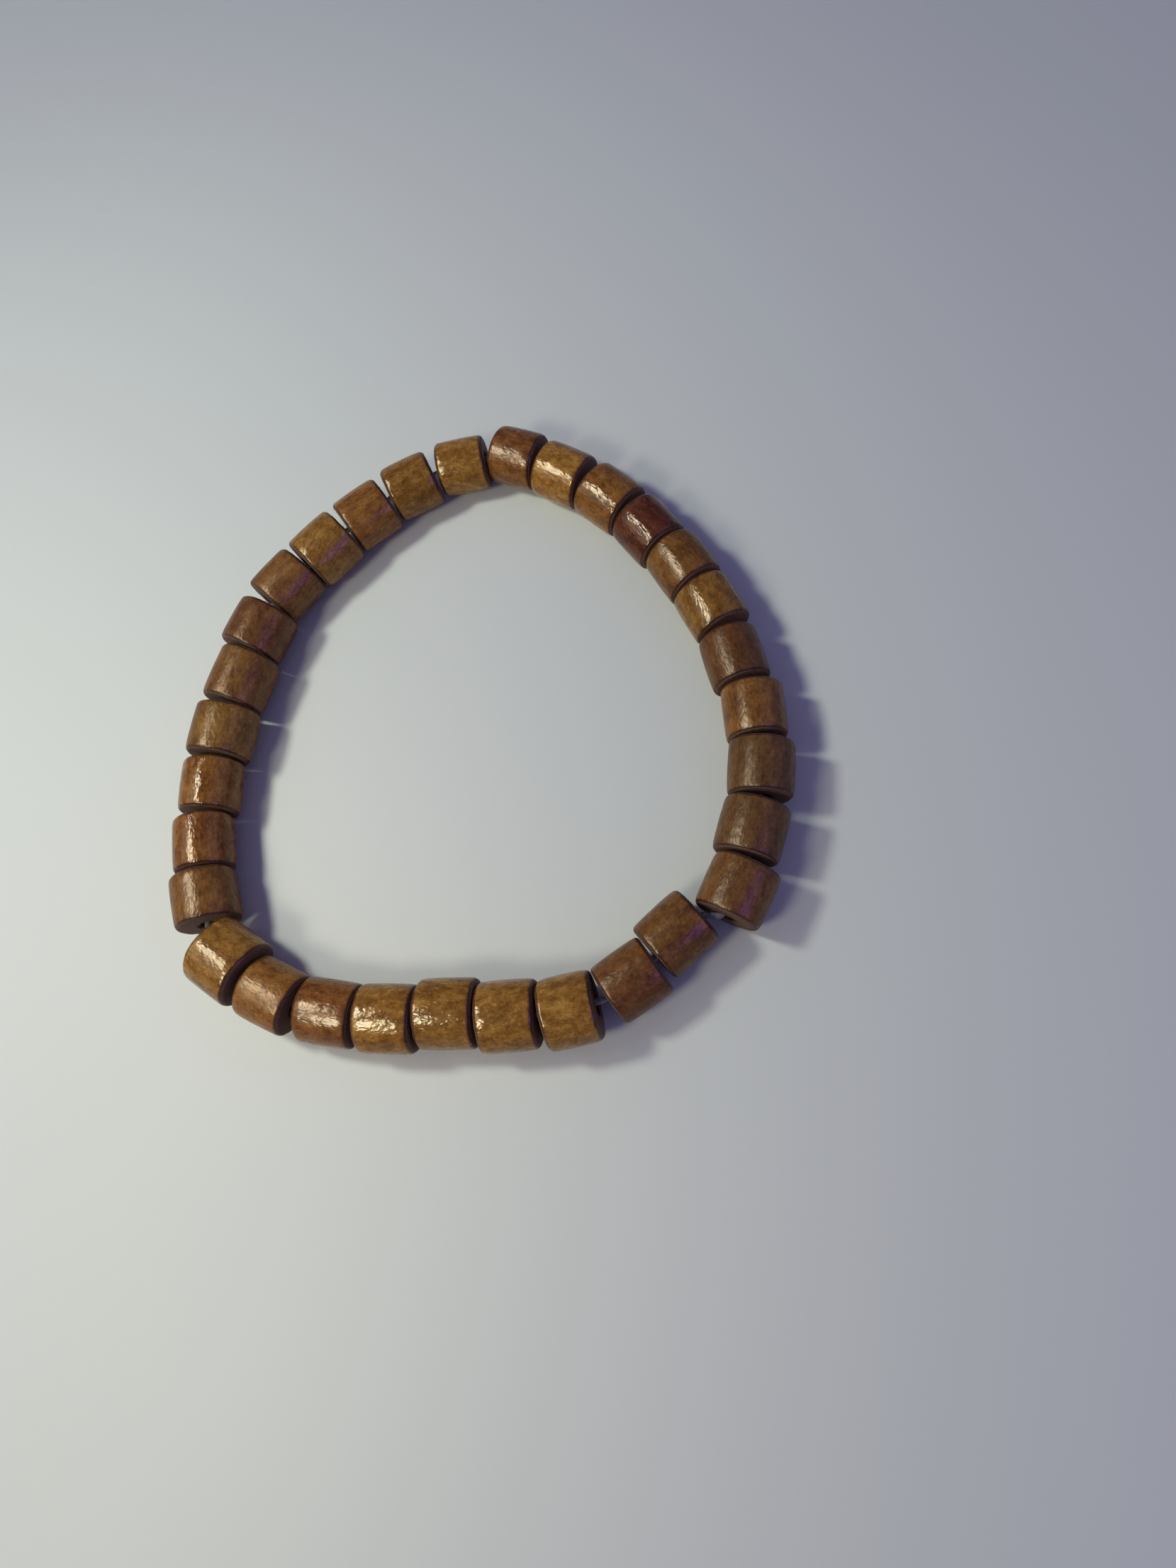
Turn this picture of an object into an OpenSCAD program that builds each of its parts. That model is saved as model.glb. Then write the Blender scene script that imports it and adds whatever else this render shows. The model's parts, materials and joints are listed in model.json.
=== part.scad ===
// Elastic bracelet of turned wooden beads, lying flat in a loose closed loop.
// The beads are short drilled cylinders, threaded on one closed loop of clear elastic.
// Millimetres, +Z up. The origin is on the table, under the middle of the loop's bounding box.

/* [Beads] */
// Outer diameter that most beads are turned to
bead_d = 8; // [7.6:0.1:8.4]
// Length that most beads are cut to
bead_l = 6.8; // [6.5:0.1:6.9]
// Radius of the rounded rims
rim_r = 0.6; // [0.4:0.1:0.8]
// Diameter of the drilled bore
bore_d = 2.2; // [2:0.1:2.6]
// Depth and width of the countersink at each mouth of the bore
sink = 0.4; // [0.3:0.1:0.5]

/* [Thread] */
// Diameter of the elastic thread
thread_d = 0.8; // [0.6:0.1:0.8]
// Clearance that the thread keeps from the wall of a bore
thread_play = 0.2; // [0.15:0.05:0.25]

/* [Lie of the loop] */
// Direction in which the first bead's bore points, counted from +X
first_heading = 10; // [0:1:30]

/* [Hidden] */
$fn = 64;
thread_sides = 8;

golden = [0.62, 0.44, 0.20];
brown = [0.48, 0.31, 0.16];
russet = [0.47, 0.26, 0.14];
mahogany = [0.36, 0.18, 0.12];
umber = [0.36, 0.22, 0.13];
clear_elastic = [0.86, 0.86, 0.84];

// One row for each bead, clockwise from the one at the left of the loop's far end.
// turn: degrees that the string bends to the right after the bead
// gap:  clearance to the next bead, where the two come closest
// step: how far the next bead's inner rim lies further in (minus: further out)
// over_d, over_l: what the bead measures over bead_d and bead_l
BEADS = [
    // turn, gap, step, over_d, over_l, tone
    [28, 0.1, -1.0, -0.6, -0.1, golden],
    [ 9, 0.3,  0.4, -0.2, -0.4, russet],
    [13, 0.3, -0.1, -0.2, -0.1, golden],
    [10, 0.1, -0.2, -0.2,  0.0, brown],
    [ 6, 0.1, -0.4, -0.3, -0.1, mahogany],
    [ 5, 0.1, -0.1, -0.2,  0.0, brown],
    [11, 0.2,  0.1, -0.3,  0.0, golden],
    [11, 0.1, -0.8, -0.4,  0.2, russet],
    [ 9, 0.1, -0.3, -0.3,  0.1, brown],
    [12, 0.1,  0.1,  0.1,  0.1, umber],
    [ 9, 0.1, -0.7,  0.2,  0.0, umber],
    [23, 0.6,  2.7,  0.3,  0.1, brown],
    [ 7, 0.1, -1.0, -0.1,  0.2, brown],
    [22, 0.1,  0.1, -0.2,  0.0, russet],
    [ 8, 0.1,  0.4,  0.5, -0.4, golden],
    [ 4, 0.1,  0.6,  0.3,  0.1, golden],
    [ 2, 0.2, -0.6,  0.3,  0.2, golden],
    [ 7, 0.1, -0.1,  0.3,  0.1, golden],
    [16, 0.1,  0.0, -0.1,  0.2, russet],
    [ 9, 0.1,  1.2,  0.0, -0.1, brown],
    [41, 0.1,  0.9,  1.1, -0.1, golden],
    [ 6, 0.1,  0.0,  0.4, -0.1, brown],
    [10, 0.1,  0.7, -0.2,  0.3, russet],
    [ 8, 0.1,  0.7, -0.1,  0.2, brown],
    [10, 0.1, -0.2,  0.5,  0.0, golden],
    [ 6, 0.1, -0.8,  0.3,  0.5, brown],
    [16, 0.1, -1.1,  0.5, -0.3, russet],
    [ 5, 0.2,  0.3,  0.1,  0.0, brown],
    [ 9, 0.2, -0.5,  0.2,  0.1, golden],
    [11, 0.1, -0.5, -0.2,  0.0, brown],
    [17, 0.2, -0.7, -0.3, -0.1, golden],
];
count = len(BEADS);

function row(i) = BEADS[(i + count) % count];
function turn(i) = row(i)[0];
function gap(i) = row(i)[1];
function step(i) = row(i)[2];
function dia(i) = bead_d + row(i)[3];
function long(i) = bead_l + row(i)[4];
function tone(i) = row(i)[5];

// Along the string, and to its right, which is the inside of the loop
function along(heading) = [cos(heading), sin(heading)];
function inward(heading) = [sin(heading), -cos(heading)];

// From a bead's centre to the middle of its rim's rounding, at the inside of the loop
function rim_ahead(i, heading) =
    (long(i) / 2 - rim_r) * along(heading) + (dia(i) / 2 - rim_r) * inward(heading);
function rim_behind(i, heading) =
    -(long(i) / 2 - rim_r) * along(heading) + (dia(i) / 2 - rim_r) * inward(heading);

// Between the middles of the roundings of two facing rims. They part half the turn each way,
// so a sideways step opens them by its own part of the turn, and that is taken back along.
function across(i, heading) =
    let (half = turn(i) / 2,
         apart = (2 * rim_r + gap(i) - abs(step(i)) * sin(half)) / cos(half))
    apart * along(heading - half) + step(i) * inward(heading - half);

// The centre of the next bead: out to this bead's inner rim, across the gap, in from the next rim
function next_centre(i, centre, heading) =
    centre + rim_ahead(i, heading) + across(i, heading) - rim_behind(i + 1, heading - turn(i));

// Every bead in turn as [centre, heading], and the first one again after the last
WALK = [
    for (i = 0, centre = [0, 0], heading = first_heading; i <= count;
         centre = next_centre(i, centre, heading), heading = heading - turn(i), i = i + 1)
    [centre, heading]
];
// What the walk misses its start by is shared out over the beads
miss = WALK[count][0];
function heading(i) = WALK[i][1];
function walked(i) = WALK[i][0] - miss * i / count;

// Half of what a bead's rounded outline takes up along X and Y
function reach(i) = [
    abs(cos(heading(i))) * (long(i) / 2 - rim_r) + abs(sin(heading(i))) * (dia(i) / 2 - rim_r) + rim_r,
    abs(sin(heading(i))) * (long(i) / 2 - rim_r) + abs(cos(heading(i))) * (dia(i) / 2 - rim_r) + rim_r
];
low = [for (k = [0, 1]) min([for (i = [0 : count - 1]) walked(i)[k] - reach(i)[k]])];
high = [for (k = [0, 1]) max([for (i = [0 : count - 1]) walked(i)[k] + reach(i)[k]])];
function centre(i) = walked(i) - (low + high) / 2;

function number(i) = i < 9 ? str("0", i + 1) : str(i + 1);
function bead_name(i) = str("bead_", number(i));

// Half of a bead's section: radius across, bore axis up
module bead_section(d, l) {
    square_r = d / 2 - rim_r;
    square_l = l - 2 * rim_r;
    bore_r = bore_d / 2;
    polygon([
        [bore_r + sink, -l / 2],
        [square_r, -l / 2],
        [square_r, -square_l / 2],
        [d / 2, -square_l / 2],
        [d / 2, square_l / 2],
        [square_r, square_l / 2],
        [square_r, l / 2],
        [bore_r + sink, l / 2],
        [bore_r, l / 2 - sink],
        [bore_r, -l / 2 + sink]
    ]);
    for (end = [-1, 1]) translate([square_r, end * square_l / 2]) circle(rim_r);
}

module bead(i) {
    color(tone(i))
    translate([centre(i)[0], centre(i)[1], dia(i) / 2])
    rotate([0, 90, heading(i)])
    rotate_extrude() bead_section(dia(i), long(i));
}

// The thread runs straight from mouth to mouth. In a mouth it leans towards the other one, as far
// as the bore leaves it room, and it bends only past the mouth, a share of the way across the gap.
room = bore_d / 2 - thread_d / 2 - thread_play;
bend_share = 0.15;
function clamp(value) = max(-room, min(room, value));
function lift(flat, height) = [flat[0], flat[1], height];
function mouth_ahead(i) = lift(centre(i) + long(i) / 2 * along(heading(i)), dia(i) / 2);
function mouth_behind(i) = lift(centre(i) - long(i) / 2 * along(heading(i)), dia(i) / 2);
function lean(i, to_other) =
    let (ahead = lift(along(heading(i)), 0), side = lift(inward(heading(i)), 0))
    bend_share * (to_other * ahead) * ahead
        + clamp(to_other * side / 2) * side
        + [0, 0, clamp(to_other[2] / 2)];
function leaves(i) = mouth_ahead(i) + lean(i, mouth_behind((i + 1) % count) - mouth_ahead(i));
function enters(i) = mouth_behind(i) + lean(i, mouth_ahead((i + count - 1) % count) - mouth_behind(i));
ROUTE = [for (i = [0 : count - 1]) each [enters(i), leaves(i)]];

function unit(v) = v / norm(v);
function ring(k) =
    let (here = ROUTE[k],
         before = ROUTE[(k + len(ROUTE) - 1) % len(ROUTE)],
         after = ROUTE[(k + 1) % len(ROUTE)],
         forward = unit(unit(here - before) + unit(after - here)),
         side = unit(cross(forward, [0, 0, 1])),
         up = cross(side, forward))
    [for (s = [0 : thread_sides - 1])
        here + thread_d / 2 * (cos(360 * s / thread_sides) * side + sin(360 * s / thread_sides) * up)];

module elastic_thread() {
    rings = len(ROUTE);
    points = [for (k = [0 : rings - 1]) each ring(k)];
    faces = [for (k = [0 : rings - 1], s = [0 : thread_sides - 1])
        let (next_k = (k + 1) % rings, next_s = (s + 1) % thread_sides)
        [k * thread_sides + s, k * thread_sides + next_s,
         next_k * thread_sides + next_s, next_k * thread_sides + s]];
    color(clear_elastic) polyhedron(points, faces);
}

for (i = [0 : count - 1])
    bead(i);
elastic_thread();
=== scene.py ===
# Looks for an elastic bracelet of varnished wooden beads that lies flat on a table.
import json

import bpy
import numpy as np
from mathutils import Matrix, Vector


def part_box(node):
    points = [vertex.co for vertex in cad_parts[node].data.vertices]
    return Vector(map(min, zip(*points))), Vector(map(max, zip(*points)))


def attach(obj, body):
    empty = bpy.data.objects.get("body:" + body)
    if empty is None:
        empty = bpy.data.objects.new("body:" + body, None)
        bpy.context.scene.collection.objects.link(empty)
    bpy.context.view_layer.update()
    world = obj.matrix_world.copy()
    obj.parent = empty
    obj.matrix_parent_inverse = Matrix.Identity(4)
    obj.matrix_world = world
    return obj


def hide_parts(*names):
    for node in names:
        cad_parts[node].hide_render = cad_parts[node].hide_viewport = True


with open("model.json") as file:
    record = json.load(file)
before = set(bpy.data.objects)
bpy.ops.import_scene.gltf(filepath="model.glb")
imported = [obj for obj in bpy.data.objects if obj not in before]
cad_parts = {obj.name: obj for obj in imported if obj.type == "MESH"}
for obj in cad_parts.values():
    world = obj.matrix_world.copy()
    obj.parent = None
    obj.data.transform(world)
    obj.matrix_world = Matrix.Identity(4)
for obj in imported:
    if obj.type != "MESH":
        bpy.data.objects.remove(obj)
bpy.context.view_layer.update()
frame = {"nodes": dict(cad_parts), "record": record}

MM = 0.001
UP = Vector((0, 0, 1))
RIGHT = Vector((1, 0, 0))

# The power that turns a screen's colour into a linear one, and what a noise averages
SCREEN_GAMMA = 2.2
NOISE_MEAN = 0.5

# What the turner's work gives a bead, in metres. The frame's own diameter and length of each bead take
# the place of the first two.
STOCK_DIAMETER = 8 * MM
STOCK_LENGTH = 6.8 * MM
BORE = 2.2 * MM
COUNTERSINK = 0.4 * MM
RIM = 0.5 * MM
MOUTH_ROUNDING = 0.15 * MM
CROWN = 0.06 * MM

# How deep hand sanding and use go into a bead, in millimetres
OUT_OF_ROUND = 0.14
FLATS = 0.06
KNOCKS = 0.04
WEAR = 0.08

# Where sanding and use set in and where they reach their depth: distances from an edge or the bore,
# in millimetres, and then heights of a noise
KNOCKED_RIM = (0.9, 0.35)
WORN_END = (1.1, 0.1)
WORN_RIM = (0.5, 0.15)
CLEAR_OF_BORE = (0.3, 1.0)
KNOCKED_SPOT = (0.56, 0.72)
WORN_SIDE = (0.3, 0.6)

# How finely a bead is meshed. The bore and its countersinks, where nobody looks, get only a share of
# the steps. What reaches this many times as far out as a countersink is no longer part of them.
STEP = 0.19 * MM
FACETS = 136
ROUNDING_STEPS = 7
BORE_SHARE = 0.25
PAST_THE_SINK = 1.1

# The log that the beads are cut from: how far from its middle they lie at most, in millimetres, and
# how far its grain leans and turns against a bore, in radians. The seeds draw both for every bead.
LOG_REACH = 300.0
GRAIN_LEAN = 0.16
FULL_TURN = 6.28
LEAN_SEED = 11
CUT_SEED = 23

# The thread, the room that it keeps to the wall of a bore, and how far past a mouth it bends, as a
# share of the way to the next one. The model of the thread has the same.
THREAD = 0.8 * MM
THREAD_PLAY = 0.2 * MM
THREAD_BEND_SHARE = 0.15

# How widely the bends of the thread are rounded, in how many steps, and how many sides the thread has
THREAD_BEND = 0.8 * MM
THREAD_BEND_STEPS = 5
THREAD_FACETS = 20


class Wire:
    """One output of a node. Arithmetic on wires lays out Math nodes."""

    def __init__(self, bench, socket):
        self.bench = bench
        self.socket = socket

    def __add__(self, other):
        return self.bench.math("ADD", self, other)

    def __sub__(self, other):
        return self.bench.math("SUBTRACT", self, other)

    def __rsub__(self, other):
        return self.bench.math("SUBTRACT", other, self)

    def __mul__(self, other):
        return self.bench.math("MULTIPLY", self, other)

    def __truediv__(self, other):
        return self.bench.math("DIVIDE", self, other)

    __radd__ = __add__
    __rmul__ = __mul__


class Bench:
    """A node tree, and the one way in which a node is put on it."""

    def __init__(self, tree):
        self.tree = tree

    def make(self, kind, settings, *values, out=None, **named):
        """Adds a node: its settings first, then its sockets in order or by name. Gives one output."""
        node = self.tree.nodes.new(kind)
        for name, value in settings.items():
            if name == "stops":
                fill_ramp(node.color_ramp, value)
            elif name == "choices":
                while len(node.index_switch_items) < value:
                    node.index_switch_items.new()
            else:
                setattr(node, name, value)
        shown = [s for s in node.inputs if s.enabled]
        by_name = {s.name.replace(" ", "_"): s for s in reversed(shown)}
        filled = list(zip(shown, values)) + [(by_name[n], v) for n, v in named.items()]
        for socket, value in filled:
            if isinstance(value, Wire):
                self.tree.links.new(value.socket, socket)
            else:
                socket.default_value = value
        if out is None:
            out = next((i for i, s in enumerate(node.outputs) if s.enabled), None)
        return None if out is None else Wire(self, node.outputs[out])

    # Numbers
    def math(self, operation, *values):
        return self.make("ShaderNodeMath", {"operation": operation}, *values)

    def between(self, value, low, high, from_value=0.0, to_value=1.0):
        """from_value up to low, to_value beyond high, smooth between. Low may be the larger number."""
        return self.make(
            "ShaderNodeMapRange", {"interpolation_type": "SMOOTHSTEP"},
            value, low, high, from_value, to_value,
        )

    # Vectors and colours
    def vectors(self, operation, *values, **named):
        return self.make("ShaderNodeVectorMath", {"operation": operation}, *values, **named)

    def scaled(self, vector, factors):
        return self.vectors("MULTIPLY", vector, factors)

    def times(self, vector, number):
        """A vector or a colour, with all its parts multiplied by one number."""
        return self.vectors("SCALE", Vector=vector, Scale=number)

    def length(self, vector):
        return self.vectors("LENGTH", vector, out="Value")

    def parts(self, vector):
        node = self.make("ShaderNodeSeparateXYZ", {}, vector).socket.node
        return [Wire(self, s) for s in node.outputs]

    def joined(self, x, y, z):
        return self.make("ShaderNodeCombineXYZ", {}, x, y, z)

    def blended(self, share, a, b):
        return self.make("ShaderNodeMix", {"data_type": "RGBA"}, share, a, b)

    # Noise
    def noise(self, vector, scale=1.0, detail=2.0, rough=0.5, distortion=0.0):
        return self.make(
            "ShaderNodeTexNoise", {}, Vector=vector, Scale=scale, Detail=detail,
            Roughness=rough, Distortion=distortion,
        )

    def grained(self, wood, across, along, **settings):
        """Noise in the wood, in features per millimetre across its grain and along it."""
        return self.noise(self.scaled(wood, (across, across, along)), **settings)

    # What the points of a mesh carry with them
    def keep(self, geometry, kind, **fields):
        """Stores each field on the points, under its own name."""
        for name, value in fields.items():
            geometry = self.make(
                "GeometryNodeStoreNamedAttribute", {"data_type": kind},
                geometry, Name=name, Value=value,
            )
        return geometry

    def kept(self, name):
        """A vector that was stored on the points under this name."""
        return self.make("GeometryNodeInputNamedAttribute", {"data_type": "FLOAT_VECTOR"}, name)


def fill_ramp(ramp, stops):
    """Stops are (place, colour) from low to high."""
    while len(ramp.elements) < len(stops):
        ramp.elements.new(1.0)
    for element, (place, colour) in zip(ramp.elements, stops):
        element.position = place
        element.color = colour


def paint(red, green, blue):
    """A colour as it is mixed on a screen, 0 to 255, as the linear colour that a shader takes."""
    return tuple((c / 255) ** SCREEN_GAMMA for c in (red, green, blue)) + (1.0,)


# The beads as the frame has them

# A face of a solid stands upright if its normal rises less than this, and two faces are parallel if
# their normals' product is more than that
UPRIGHT = 0.001
PARALLEL = 0.99999


def bore_direction(mesh):
    """The way that most of a bead's upright surface faces. That is its flat ends, so its bore."""
    normals = np.zeros(len(mesh.polygons) * 3)
    areas = np.zeros(len(mesh.polygons))
    mesh.polygons.foreach_get("normal", normals)
    mesh.polygons.foreach_get("area", areas)
    normals = normals.reshape(-1, 3)
    upright = np.abs(normals[:, 2]) < UPRIGHT
    normals, areas = normals[upright], areas[upright]
    facing_alike = (np.abs(normals @ normals.T) > PARALLEL) @ areas
    bore = Vector(normals[int(np.argmax(facing_alike))])
    bore.z = 0
    bore.normalize()
    return bore


def measure(node):
    """Centre, direction of the bore, diameter and length of a bead, from its solid in the frame."""
    mesh = frame["nodes"][node].data
    low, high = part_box(node)
    bore = bore_direction(mesh)
    points = np.zeros(len(mesh.vertices) * 3)
    mesh.vertices.foreach_get("co", points)
    along = points.reshape(-1, 3) @ np.array(bore)
    return {
        "node": node,
        "centre": (low + high) / 2,
        "bore": bore,
        "diameter": high.z - low.z,
        "length": float(along.max() - along.min()),
    }


def string_of_beads():
    """Every bead in turn, each bore pointing on to the next bead."""
    names = sorted(n for n in frame["nodes"] if n.startswith("bead_"))
    beads = [measure(n) for n in names]
    for here, following in zip(beads, beads[1:] + beads[:1]):
        if here["bore"].dot(following["centre"] - here["centre"]) < 0:
            here["bore"].negate()
    return beads


# Turning a bead

BEAD_INPUTS = {
    "Diameter": ("NodeSocketFloat", STOCK_DIAMETER),
    "Length": ("NodeSocketFloat", STOCK_LENGTH),
    "Bore": ("NodeSocketFloat", BORE),
    "Countersink": ("NodeSocketFloat", COUNTERSINK),
    "Rim": ("NodeSocketFloat", RIM),
    "Crown": ("NodeSocketFloat", CROWN),
    "Fineness": ("NodeSocketFloat", STEP),
    "Facets": ("NodeSocketInt", FACETS),
    "Shade": ("NodeSocketFloat", 1.0),
    "Dullness": ("NodeSocketFloat", 0.0),
    "Seed": ("NodeSocketInt", 1),
    "Finish": ("NodeSocketMaterial", None),
}


def new_tree(name, inputs):
    """A Geometry Nodes tree with these inputs. Gives the bench, a wire for each input and the outlet."""
    tree = bpy.data.node_groups.new(name, "GeometryNodeTree")
    tree.interface.new_socket("Geometry", in_out="INPUT", socket_type="NodeSocketGeometry")
    tree.interface.new_socket("Geometry", in_out="OUTPUT", socket_type="NodeSocketGeometry")
    for socket_name, (kind, value) in inputs.items():
        socket = tree.interface.new_socket(socket_name, in_out="INPUT", socket_type=kind)
        if value is not None:
            socket.default_value = value
    bench = Bench(tree)
    inlet = tree.nodes.new("NodeGroupInput")
    outlet = tree.nodes.new("NodeGroupOutput")
    wires = {s.name: Wire(bench, s) for s in inlet.outputs if s.name}
    return bench, wires, outlet.inputs[0]


def finish_tree(bench, geometry, material, outlet):
    """Smooth shading, real geometry and its material, as the last steps of a tree."""
    geometry = bench.make("GeometryNodeSetShadeSmooth", {}, geometry)
    geometry = bench.make("GeometryNodeRealizeInstances", {}, geometry)
    geometry = bench.make("GeometryNodeSetMaterial", {}, geometry, Material=material)
    bench.tree.links.new(geometry.socket, outlet)


def bead_section(bench, given):
    """The outline of half a bead: X out from the wall of the bore, Y along it."""
    half = given["Length"] / 2
    wall = given["Diameter"] / 2 - given["Bore"] / 2
    sink = given["Countersink"]
    low = half * -1
    corners = [
        (wall, low), (wall, half), (sink, half), (0.0, half - sink), (0.0, sink - half), (sink, low),
    ]
    places = [bench.joined(x, y, 0.0) for x, y in corners]
    rounding = [given["Rim"]] * 2 + [MOUTH_ROUNDING] * 4
    count = len(corners)
    index = bench.make("GeometryNodeInputIndex", {})
    corner = bench.make(
        "GeometryNodeIndexSwitch", {"data_type": "VECTOR", "choices": count}, index, *places,
    )
    radius = bench.make(
        "GeometryNodeIndexSwitch", {"data_type": "FLOAT", "choices": count}, index, *rounding,
    )
    outline = bench.make("GeometryNodeCurvePrimitiveCircle", {"mode": "RADIUS"}, Resolution=count)
    outline = bench.make("GeometryNodeSetPosition", {}, outline, Position=corner)
    outline = bench.make(
        "GeometryNodeFilletCurve", {"mode": "POLY"}, outline, Count=ROUNDING_STEPS, Radius=radius,
    )

    # Each straight is cut into short steps, and into longer ones in the bore and its countersinks
    place = bench.make("GeometryNodeInputPosition", {})
    after = bench.make("GeometryNodeOffsetPointInCurve", {}, index, 1, out="Point Index")
    next_place = bench.make("GeometryNodeFieldAtIndex", {"data_type": "FLOAT_VECTOR"}, place, after)
    straight = bench.length(bench.vectors("SUBTRACT", next_place, place))
    further_out = bench.math("MAXIMUM", bench.parts(place)[0], bench.parts(next_place)[0])
    outside = bench.math("GREATER_THAN", further_out, sink * PAST_THE_SINK)
    share = outside * (1 - BORE_SHARE) + BORE_SHARE
    cuts = bench.math("FLOOR", straight / given["Fineness"] * share)
    return bench.make("GeometryNodeSubdivideCurve", {}, outline, cuts)


def place_in_log(bench, place, seed):
    """Where a bead's points lay in the log, in millimetres. The grain runs nearly along the bore."""
    lean = bench.make(
        "FunctionNodeRandomValue", {"data_type": "FLOAT_VECTOR"},
        Min=(-GRAIN_LEAN, -GRAIN_LEAN, 0.0), Max=(GRAIN_LEAN, GRAIN_LEAN, FULL_TURN),
        ID=seed, Seed=LEAN_SEED,
    )
    cut_from = bench.make(
        "FunctionNodeRandomValue", {"data_type": "FLOAT_VECTOR"},
        Min=(-LOG_REACH,) * 3, Max=(LOG_REACH,) * 3, ID=seed, Seed=CUT_SEED,
    )
    turned = bench.make(
        "ShaderNodeVectorRotate", {"rotation_type": "EULER_XYZ"},
        Vector=bench.times(place, 1 / MM), Rotation=lean,
    )
    return bench.vectors("ADD", turned, cut_from)


def sanding(bench):
    """How deep sanding and use go in, in millimetres. They leave a bead a little out of round, with
    long shallow flats, small knocks on the rims and uneven wear at the ends."""
    wood = bench.kept("grain")
    from_barrel, from_end, from_bore = bench.parts(bench.kept("from_edges"))
    out_of_round = bench.grained(wood, across=0.2, along=0.12, detail=0.0)
    flats = bench.grained(wood, across=0.75, along=0.28, detail=1.0)
    spots = bench.grained(wood, across=0.9, along=0.9, detail=1.0)
    knocks = (
        bench.between(spots, *KNOCKED_SPOT)
        * bench.between(from_barrel + from_end, *KNOCKED_RIM)
    )
    wear = (
        bench.between(from_end, *WORN_END)
        * bench.between(out_of_round, *WORN_SIDE)
        * bench.between(from_barrel, *WORN_RIM)
    )
    depth = (
        (out_of_round - NOISE_MEAN) * OUT_OF_ROUND
        + (flats - NOISE_MEAN) * FLATS
        + knocks * KNOCKS
        + wear * WEAR
    )
    return depth * bench.between(from_bore, *CLEAR_OF_BORE)


def bead_tree():
    """A bead as it is turned: its section swept round the bore, then crowned, sanded and worn."""
    bench, given, outlet = new_tree("turned bead", BEAD_INPUTS)
    spine = bench.make(
        "GeometryNodeCurvePrimitiveCircle", {"mode": "RADIUS"},
        Resolution=given["Facets"], Radius=given["Bore"] / 2,
    )
    bead = bench.make("GeometryNodeCurveToMesh", {}, spine, bead_section(bench, given))

    # What the sanding and the finish go by: the wood at each point, and how far it is from the edges
    place = bench.make("GeometryNodeInputPosition", {})
    x, y, z = bench.parts(place)
    wall = given["Diameter"] / 2 - given["Bore"] / 2
    half = given["Length"] / 2
    out_from_bore = bench.length(bench.joined(x, y, 0.0)) - given["Bore"] / 2
    in_from_barrel = wall - out_from_bore
    in_from_end = half - bench.math("ABSOLUTE", z)
    edges = bench.times(bench.joined(in_from_barrel, in_from_end, out_from_bore), 1 / MM)
    grain = place_in_log(bench, place, given["Seed"])
    bead = bench.keep(bead, "FLOAT_VECTOR", grain=grain, from_edges=edges)
    bead = bench.keep(bead, "FLOAT", shade=given["Shade"], dullness=given["Dullness"])

    # The barrel is a little fuller in the middle
    reach = z / half
    waist = 1 - given["Crown"] * reach * reach * out_from_bore / (wall * wall)
    crowned = bench.scaled(place, bench.joined(waist, waist, 1.0))
    bead = bench.make("GeometryNodeSetPosition", {}, bead, Position=crowned)

    normal = bench.make("GeometryNodeInputNormal", {})
    sunk = bench.times(normal, sanding(bench) * -MM)
    bead = bench.make("GeometryNodeSetPosition", {}, bead, Offset=sunk)
    finish_tree(bench, bead, given["Finish"], outlet)
    return bench.tree


def run_tree(tree, name, settings, mesh=None):
    """The plain mesh that the tree makes with these settings, in an object with no modifier left."""
    piece = bpy.data.objects.new(name, mesh or bpy.data.meshes.new(name))
    bpy.context.scene.collection.objects.link(piece)
    modifier = piece.modifiers.new(tree.name, "NODES")
    modifier.node_group = tree
    sockets = {s.name: s.identifier for s in tree.interface.items_tree if s.in_out == "INPUT"}
    for label, value in settings.items():
        modifier[sockets[label]] = value
    depsgraph = bpy.context.evaluated_depsgraph_get()
    made = bpy.data.meshes.new_from_object(
        piece.evaluated_get(depsgraph), preserve_all_data_layers=True, depsgraph=depsgraph
    )
    piece.modifiers.clear()
    piece.data = made
    made.name = name
    return piece


def dress_bead(tree, bead, number, material):
    """Turns one bead and puts it where its solid is."""
    piece = run_tree(tree, bead["node"].replace("bead", "turned_bead"), {
        "Diameter": bead["diameter"],
        "Length": bead["length"],
        "Shade": TONE_AND_PAINTED_LIGHT.get(number, 1.0),
        "Dullness": DULLNESS.get(number, 0.0),
        "Seed": number,
        "Finish": material,
    })
    across = bead["bore"].cross(UP)
    turn = Matrix((UP, across, bead["bore"])).transposed().to_4x4()
    piece.data.transform(Matrix.Translation(bead["centre"]) @ turn)
    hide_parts(bead["node"])
    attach(piece, "root")


# The elastic thread

def thread_route(beads):
    """Straight from mouth to mouth. In a mouth it leans to the other one, as far as it has room."""
    room = BORE / 2 - THREAD / 2 - THREAD_PLAY

    def held(value):
        return max(-room, min(room, value))

    def mouth(bead, end):
        return bead["centre"] + end * bead["length"] / 2 * bead["bore"]

    def leant(bead, end, other):
        here = mouth(bead, end)
        side = bead["bore"].cross(UP)
        to_other = other - here
        return (
            here
            + THREAD_BEND_SHARE * to_other.dot(bead["bore"]) * bead["bore"]
            + held(to_other.dot(side) / 2) * side
            + Vector((0, 0, held(to_other.z / 2)))
        )

    route = []
    for i, bead in enumerate(beads):
        before, after = beads[i - 1], beads[(i + 1) % len(beads)]
        route.append(leant(bead, -1, mouth(before, 1)))
        route.append(leant(bead, 1, mouth(after, -1)))
    return route


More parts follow.
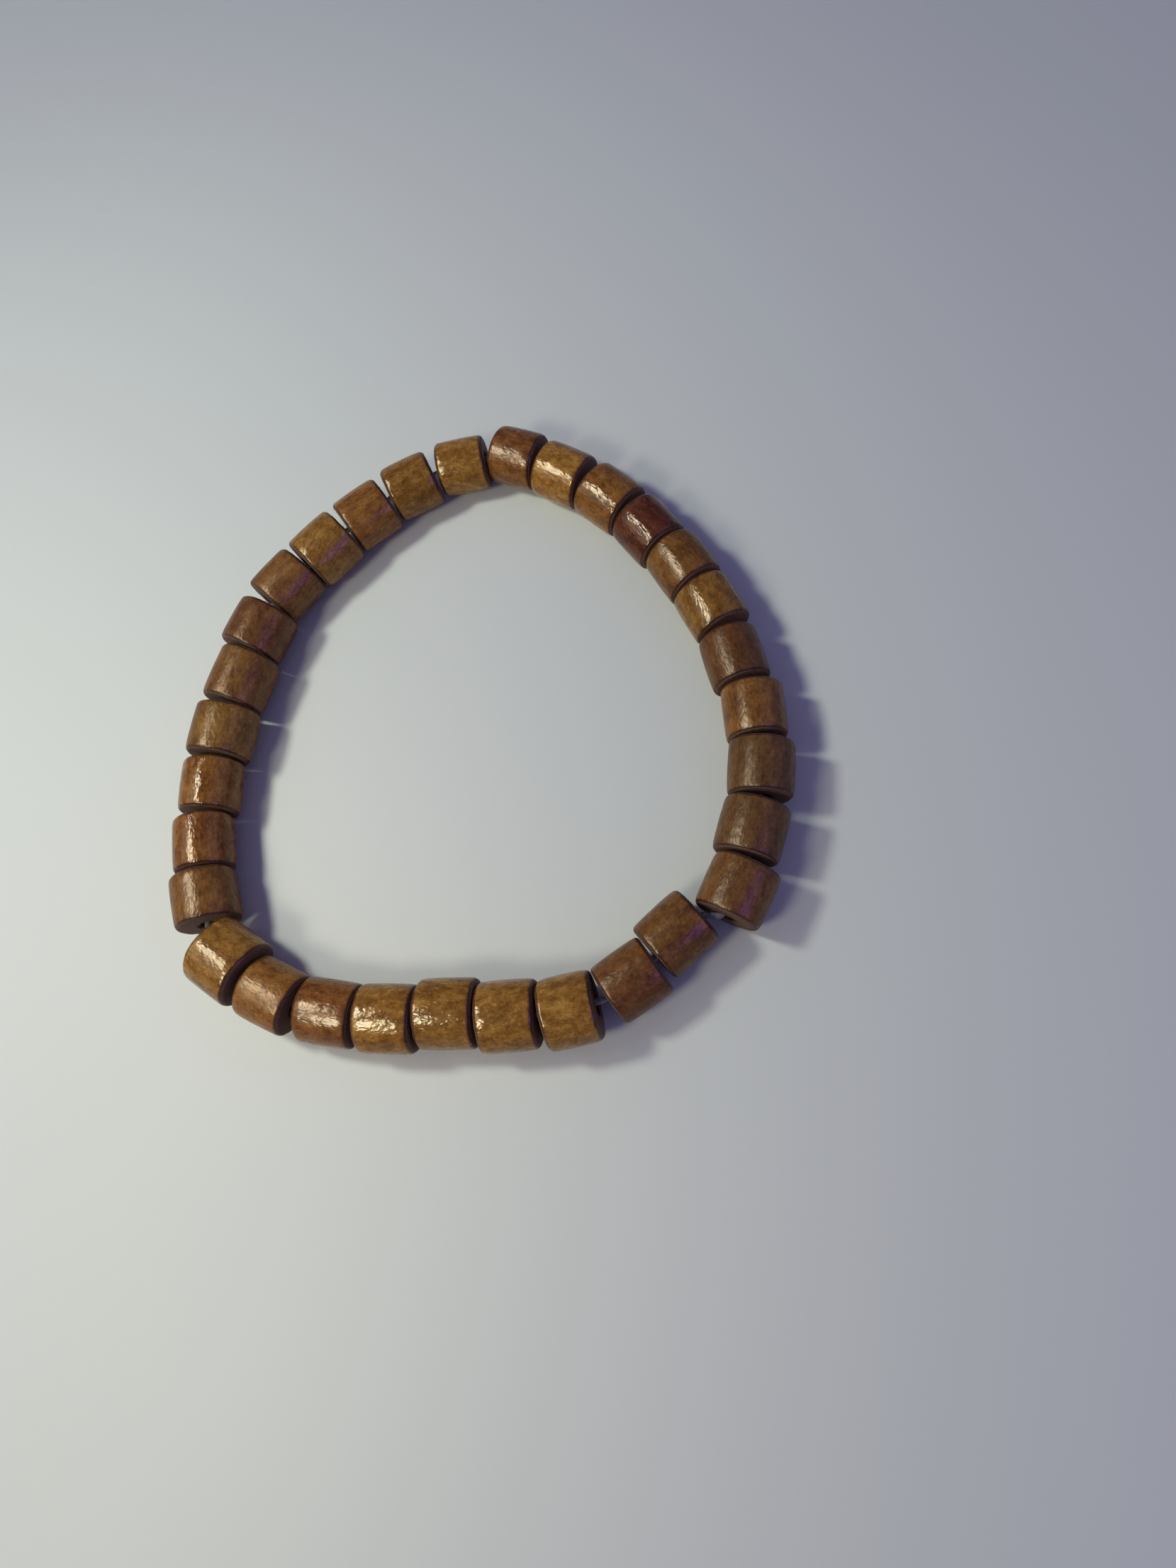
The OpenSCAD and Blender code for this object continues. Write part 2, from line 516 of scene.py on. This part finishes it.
def thread_tree():
    """A round cord along a closed line of points, with its bends eased."""
    bench, given, outlet = new_tree("elastic thread", {
        "Thickness": ("NodeSocketFloat", THREAD),
        "Bend": ("NodeSocketFloat", THREAD_BEND),
        "Finish": ("NodeSocketMaterial", None),
    })
    line = bench.make("GeometryNodeMeshToCurve", {}, given["Geometry"])
    line = bench.make(
        "GeometryNodeFilletCurve", {"mode": "POLY"},
        line, Count=THREAD_BEND_STEPS, Radius=given["Bend"], Limit_Radius=True,
    )
    round_section = bench.make(
        "GeometryNodeCurvePrimitiveCircle", {"mode": "RADIUS"},
        Resolution=THREAD_FACETS, Radius=given["Thickness"] / 2,
    )
    cord = bench.make("GeometryNodeCurveToMesh", {}, line, round_section)
    finish_tree(bench, cord, given["Finish"], outlet)
    return bench.tree


def string_thread(beads, material):
    """Runs the thread through all the beads and closes it."""
    route = thread_route(beads)
    line = bpy.data.meshes.new("thread line")
    line.from_pydata(route, [(i, (i + 1) % len(route)) for i in range(len(route))], [])
    piece = run_tree(thread_tree(), "stretch_cord", {"Finish": material}, line)
    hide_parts("elastic_thread")
    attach(piece, "root")


# Finishes

# Pale streak, body and dark streak of each stain
STAINS = {
    "wood_golden": (paint(185, 137, 68), paint(143, 99, 42), paint(112, 73, 31)),
    "wood_brown": (paint(159, 111, 54), paint(128, 84, 38), paint(95, 58, 25)),
    "wood_russet": (paint(150, 101, 52), paint(121, 76, 36), paint(91, 52, 24)),
    "wood_mahogany": (paint(118, 72, 48), paint(96, 53, 33), paint(74, 38, 24)),
    "wood_umber": (paint(135, 96, 52), paint(108, 73, 36), paint(82, 51, 25)),
}

# Where the dark streak, the body and the pale streak lie on the scale of the tones, from 0 to 1
DARK_AT = 0.4
BODY_AT = 0.49
PALE_AT = 0.62

# The thin pale curls, partly paler grain and partly painted sheen of the rippled varnish: half their
# width on the scale of their noise, and how bright the wood is on them and beside them
CURL_AND_SHEEN_REACH = 0.06
ON_CURLS_AND_SHEEN = 1.28
BESIDE_CURLS_AND_SHEEN = 0.93

# How much paler or darker each bead is drawn than its stain, by the bead's number: partly the bead's own
# tone, partly painted light and shade for how brightly its place on the table is lit. The others are
# like it.
TONE_AND_PAINTED_LIGHT = {
    1: 0.92, 3: 1.1, 4: 0.98, 5: 0.93, 6: 0.74, 7: 0.76, 8: 0.6, 9: 0.85, 10: 0.77,
    11: 0.82, 12: 0.73, 13: 0.7, 14: 0.8, 15: 0.97, 17: 0.98, 18: 1.12, 19: 1.15, 20: 1.23,
    21: 0.98, 22: 0.85, 23: 1.03, 24: 1.05, 25: 0.7, 26: 0.77, 27: 0.74, 28: 0.79, 29: 0.82, 30: 1.05,
    31: 0.79,
}

# How far the varnish of a bead has gone dull, from 0 to 1, by the bead's number. The others shine.
DULLNESS = {
    2: 0.3, 4: 0.1, 5: 0.1, 6: 0.4, 7: 0.2, 8: 0.8, 9: 0.6, 10: 0.85,
    11: 0.85, 12: 0.8, 13: 0.65, 14: 0.75, 19: 0.3, 20: 0.7,
    21: 0.15, 22: 0.6, 23: 0.1, 25: 0.7, 26: 0.85, 27: 0.75, 28: 0.8, 29: 0.4, 30: 0.5,
    31: 0.1,
}

# Stain that has gathered on a rim, darkened further with painted shade where the beads meet: how much of
# it covers the wood, at what distance from the end it begins and is full, and how far that strays, in
# millimetres
RIM_STAIN_AND_SHADE = paint(58, 32, 28)
RIM_COVER = 0.8
STAINED_AND_SHADED_RIM = (0.5, 0.2)
RIM_STRAYS = 0.4

# The bare end: at what distance from it the varnish thins out and stops, how far that strays, and at
# what distance from the bore it darkens, in millimetres. Then its colours, and which heights of its
# rings and specks are the dark and the pale one.
BARE_END = (0.2, 0.06)
END_STRAYS = 0.15
DARK_BORE = (0.55, 0.1)
END_DARK = paint(91, 65, 53)
END_PALE = paint(124, 94, 74)
END_BY_BORE = paint(44, 28, 26)
END_TONES = (0.2, 0.8)

# The varnish: how high it ripples, and how high the saw's marks stand on the bare ends against that
VARNISH_RIPPLE = 0.058 * MM
SAW_MARKS = 0.15

# How rough the varnish is when new, what fibres, age and bare wood add to that, and how strongly it
# mirrors
NEW_VARNISH = 0.1
OVER_FIBRES = 0.08
GONE_DULL = 0.25
BARE_WOOD = 0.45
VARNISH_MIRROR = 0.25

# The elastic: its colours where it is clearer and where it is milky, how many of these clouds there are
# in a metre, and how high they stand on its surface
ELASTIC_CLEARER = paint(156, 158, 158)
ELASTIC_MILKY = paint(204, 206, 206)
ELASTIC_CLOUDS = 900.0
ELASTIC_RELIEF = 0.02 * MM

# How rough the elastic is where it is clearest, what a cloud adds, and how much light it lets through
ELASTIC_SMOOTH = 0.2
ELASTIC_HAZE = 0.15
ELASTIC_CLEARNESS = 0.5
ELASTIC_IOR = 1.45


def new_material(name):
    """An empty material and its bench."""
    material = bpy.data.materials.new(name)
    material.use_nodes = True
    material.node_tree.nodes.clear()
    return material, Bench(material.node_tree)


def show(bench, shader):
    bench.make("ShaderNodeOutputMaterial", {}, Surface=shader)


def attribute(bench, name, out="Vector"):
    return bench.make("ShaderNodeAttribute", {"attribute_name": name}, out=out)


def streaked(bench, stain, grain, fibres, mottle, flecks):
    """The colour of stained wood, with long figure and broad clouds under the finer marks."""
    pale, body, dark = stain
    figure = bench.grained(grain, across=0.4, along=0.16, detail=2.0, distortion=0.6)
    clouds = bench.grained(grain, across=0.7, along=0.5, detail=2.0, distortion=0.4)
    tone = figure * 0.15 + clouds * 0.3 + fibres * 0.15 + mottle * 0.2 + flecks * 0.2
    stops = [(DARK_AT, dark), (BODY_AT, body), (PALE_AT, pale)]
    colour = bench.make("ShaderNodeValToRGB", {"stops": stops}, tone, out="Color")

    # Thin pale curls between the fibres, partly paler grain and partly painted sheen of the varnish
    curls_and_sheen = bench.grained(grain, across=2.3, along=1.5, detail=1.0, distortion=0.6)
    off_curl_and_sheen = bench.math("ABSOLUTE", curls_and_sheen - NOISE_MEAN)
    return bench.times(colour, bench.between(off_curl_and_sheen, CURL_AND_SHEEN_REACH, 0.0, BESIDE_CURLS_AND_SHEEN, ON_CURLS_AND_SHEEN))


def end_grain(bench, grain, from_bore):
    """The colour of a bare end, with arcs of growth rings and pores, and darker by the bore."""
    rings = bench.make(
        "ShaderNodeTexWave", {"wave_type": "RINGS", "rings_direction": "Z"},
        Vector=bench.scaled(grain, (1.0, 1.0, 0.1)), Scale=0.5, Distortion=2.0, Detail=2.0,
        out="Fac",
    )
    specks = bench.grained(grain, across=5.0, along=1.0, detail=2.0)
    pale = bench.between(rings * 0.12 + specks * 0.8, *END_TONES)
    by_bore = bench.between(from_bore, *DARK_BORE)
    return bench.blended(by_bore, bench.blended(pale, END_DARK, END_PALE), END_BY_BORE)


def surface(bench, grain, flecks, bare):
    """Varnish has flowed unevenly over the fibres, so its shine is broken into short dashes. The bare
    ends show the saw instead."""
    ripples = bench.grained(grain, across=2.2, along=1.1, detail=1.0, distortion=0.4)
    waves = bench.grained(grain, across=1.0, along=0.4, detail=1.0)
    relief = ripples + waves * 0.7 + flecks * 0.2
    sawn = bench.grained(grain, across=3.0, along=3.0, detail=3.0)
    height = relief * (1 - bare) + sawn * bare * SAW_MARKS
    return bench.make("ShaderNodeBump", {}, Strength=1.0, Distance=VARNISH_RIPPLE, Height=height)


def varnished_wood(slot):
    """Stained wood under a gloss varnish, with the cut ends left bare."""
    material, bench = new_material(slot.replace("_", " ") + ", varnished")
    grain = attribute(bench, "grain")
    from_end, from_bore = bench.parts(attribute(bench, "from_edges"))[1:]
    shade = attribute(bench, "shade", "Fac")
    dullness = attribute(bench, "dullness", "Fac")

    # Fine fibres along the bore, a soft mottle and flecks
    fibres = bench.grained(grain, across=3.4, along=0.9, detail=2.0, rough=0.6)
    mottle = bench.grained(grain, across=1.4, along=1.1, detail=5.0, rough=0.7)
    flecks = bench.grained(grain, across=2.5, along=2.1, detail=1.0, distortion=0.8)

    # The rims are darker, partly from stain gathered there and partly from painted shade where the beads
    # meet, and the stain stops at the ends. Both lines stray a little to and fro.
    strays = mottle * 0.5 + fibres * 0.3 - 0.4
    on_rim = bench.between(from_end + strays * RIM_STRAYS, *STAINED_AND_SHADED_RIM)
    bare = bench.between(from_end + strays * END_STRAYS, *BARE_END)
    wood = streaked(bench, STAINS[slot], grain, fibres, mottle, flecks)
    wood = bench.blended(on_rim * RIM_COVER, wood, RIM_STAIN_AND_SHADE)
    # Each bead's own tone, with painted light and shade for how brightly its place is lit
    wood = bench.times(wood, shade)
    show(bench, bench.make(
        "ShaderNodeBsdfPrincipled", {},
        Base_Color=bench.blended(bare, wood, end_grain(bench, grain, from_bore)),
        Roughness=NEW_VARNISH + fibres * OVER_FIBRES + dullness * GONE_DULL + bare * BARE_WOOD,
        Normal=surface(bench, grain, flecks, bare),
        Specular_IOR_Level=VARNISH_MIRROR,
    ))
    return material


def milky_elastic():
    """Clear stretch cord that has gone a little milky, in small uneven clouds."""
    material, bench = new_material("milky stretch cord")
    place = bench.make("ShaderNodeTexCoord", {}, out="Object")
    cloud = bench.noise(place, scale=ELASTIC_CLOUDS, detail=2.0)
    show(bench, bench.make(
        "ShaderNodeBsdfPrincipled", {},
        Base_Color=bench.blended(cloud, ELASTIC_CLEARER, ELASTIC_MILKY),
        Roughness=cloud * ELASTIC_HAZE + ELASTIC_SMOOTH,
        Normal=bench.make("ShaderNodeBump", {}, Strength=0.3, Distance=ELASTIC_RELIEF, Height=cloud),
        Transmission_Weight=ELASTIC_CLEARNESS,
        IOR=ELASTIC_IOR,
    ))
    return material


# Table, light and camera

# How far the table reaches from its middle, and between which distances it pales, in metres
TABLE_REACH = 3.0
PALES_FROM = 0.13
PALES_TO = 0.42
CORNERS = ((-1, -1), (1, -1), (1, 1), (-1, 1))
TABLE_TOP = paint(217, 223, 219)
TABLE_ROUGHNESS = 0.6
WALL = paint(200, 201, 204)
BLACK = paint(0, 0, 0)

# Cool light from the room, which fills the shadows
ROOM_LIGHT = (0.12, 0.113, 0.24, 1.0)

# Lamps that give light and shadow, in metres and watts: one high on the left, and a warmer one nearer
# the viewer
LIGHTING_LAMPS = [
    dict(place=(-0.135, 0.022, 0.195), wide=0.04, deep=0.04, power=0.235, colour=(0.95, 1.0, 0.86)),
    dict(place=(-0.15, -0.19, 0.28), wide=0.09, deep=0.09, power=0.28, colour=(1.0, 0.94, 0.72)),
]

# Lamps that only the varnish mirrors: three on the left and their halo, then a pale and a violet one
# on the right
WARM = (1.0, 0.92, 0.66)
MIRRORED_LAMPS = [
    dict(place=(-0.14, -0.004, 0.22), wide=0.06, deep=0.115, power=0.52, colour=WARM),
    dict(place=(-0.118, -0.158, 0.222), wide=0.06, deep=0.13, power=0.8, colour=(1.0, 0.93, 0.62)),
    dict(place=(-0.15, 0.056, 0.222), wide=0.04, deep=0.05, power=0.14, colour=WARM),
    dict(place=(-0.23, -0.04, 0.24), wide=0.26, deep=0.26, power=0.35, colour=(1.0, 0.94, 0.7)),
    dict(place=(0.26, 0.06, 0.2), wide=0.4, deep=0.4, power=0.2, colour=(0.8, 0.72, 1.0)),
    dict(place=(0.235, -0.12, 0.175), wide=0.13, deep=0.13, power=0.2, colour=(0.3, 0.1, 1.0)),
]

# The camera stands above the near right of the bracelet. Its lens and sensor are in millimetres.
CAMERA_PLACE = Vector((35.2, -46.7, 123.5)) * MM
CAMERA_AIM = Vector((13.8, -8.1, 0.0)) * MM
LENS = 23.6
SENSOR = 36.0
CLIP_START = 0.005
CLIP_END = 20.0


def pale_table():
    """A plain table top. Far out, where the lamps don't reach, it pales into the wall behind it."""
    corners = [(x * TABLE_REACH, y * TABLE_REACH, 0) for x, y in CORNERS]
    mesh = bpy.data.meshes.new("pale table")
    mesh.from_pydata(corners, [], [(0, 1, 2, 3)])
    table = bpy.data.objects.new("pale_table", mesh)
    bpy.context.scene.collection.objects.link(table)
    material, bench = new_material("pale table top")
    from_middle = bench.length(bench.make("ShaderNodeTexCoord", {}, out="Object"))
    far = bench.between(from_middle, PALES_FROM, PALES_TO)
    show(bench, bench.make(
        "ShaderNodeBsdfPrincipled", {},
        Base_Color=bench.blended(far, TABLE_TOP, BLACK), Roughness=TABLE_ROUGHNESS,
        Emission_Color=bench.blended(far, BLACK, WALL), Emission_Strength=1.0,
    ))
    mesh.materials.append(material)


def looking_away_from(back):
    """The turn of a lamp or a camera that has this direction behind it, with its sides kept level."""
    upwards = back.cross(RIGHT).normalized()
    return Matrix((upwards.cross(back), upwards, back)).transposed().to_4x4()


def soft_lamp(place, wide, deep, power, colour, mirrored=False):
    """An oval lamp that looks at the bracelet. It gives light and shadow, or is what varnish mirrors."""
    light = bpy.data.lights.new("soft lamp", "AREA")
    light.shape = "ELLIPSE"
    light.size = wide
    light.size_y = deep
    light.energy = power
    light.color = colour
    lamp = bpy.data.objects.new("soft_lamp", light)
    lamp.matrix_world = Matrix.Translation(place) @ looking_away_from(Vector(place).normalized())
    lamp.visible_camera = False
    lamp.visible_diffuse = not mirrored
    lamp.visible_glossy = mirrored
    bpy.context.scene.collection.objects.link(lamp)


def light_the_table():
    """The room's cool light, the plain wall that the camera sees behind the table, and the lamps."""
    world = bpy.data.worlds.new("room")
    world.use_nodes = True
    world.node_tree.nodes.clear()
    bench = Bench(world.node_tree)
    seen = bench.make("ShaderNodeLightPath", {}, out="Is Camera Ray")
    wall = bench.blended(seen, ROOM_LIGHT, WALL)
    room = bench.make("ShaderNodeBackground", {}, Color=wall, Strength=1.0)
    bench.make("ShaderNodeOutputWorld", {}, Surface=room)
    bpy.context.scene.world = world
    for lamp in LIGHTING_LAMPS:
        soft_lamp(**lamp)
    for lamp in MIRRORED_LAMPS:
        soft_lamp(**lamp, mirrored=True)


def stand_the_camera():
    """Puts up the camera and looks through it, level with the photograph's own tilt."""
    data = bpy.data.cameras.new("camera")
    data.lens = LENS
    data.sensor_width = SENSOR
    data.clip_start = CLIP_START
    data.clip_end = CLIP_END
    camera = bpy.data.objects.new("camera", data)
    back = (CAMERA_PLACE - CAMERA_AIM).normalized()
    camera.matrix_world = Matrix.Translation(CAMERA_PLACE) @ looking_away_from(back)
    bpy.context.scene.collection.objects.link(camera)
    bpy.context.scene.camera = camera


slots = {part["node"]: part["material_slot"] for part in frame["record"]["subparts"]}
stand_the_camera()
light_the_table()
pale_table()
beads = string_of_beads()
woods = {slot: varnished_wood(slot) for slot in STAINS}
turning = bead_tree()
for number, bead in enumerate(beads, start=1):
    slot = slots[bead["node"]]
    dress_bead(turning, bead, number, woods[slot])
string_thread(beads, milky_elastic())

bpy.context.scene.view_settings.view_transform = "Standard"
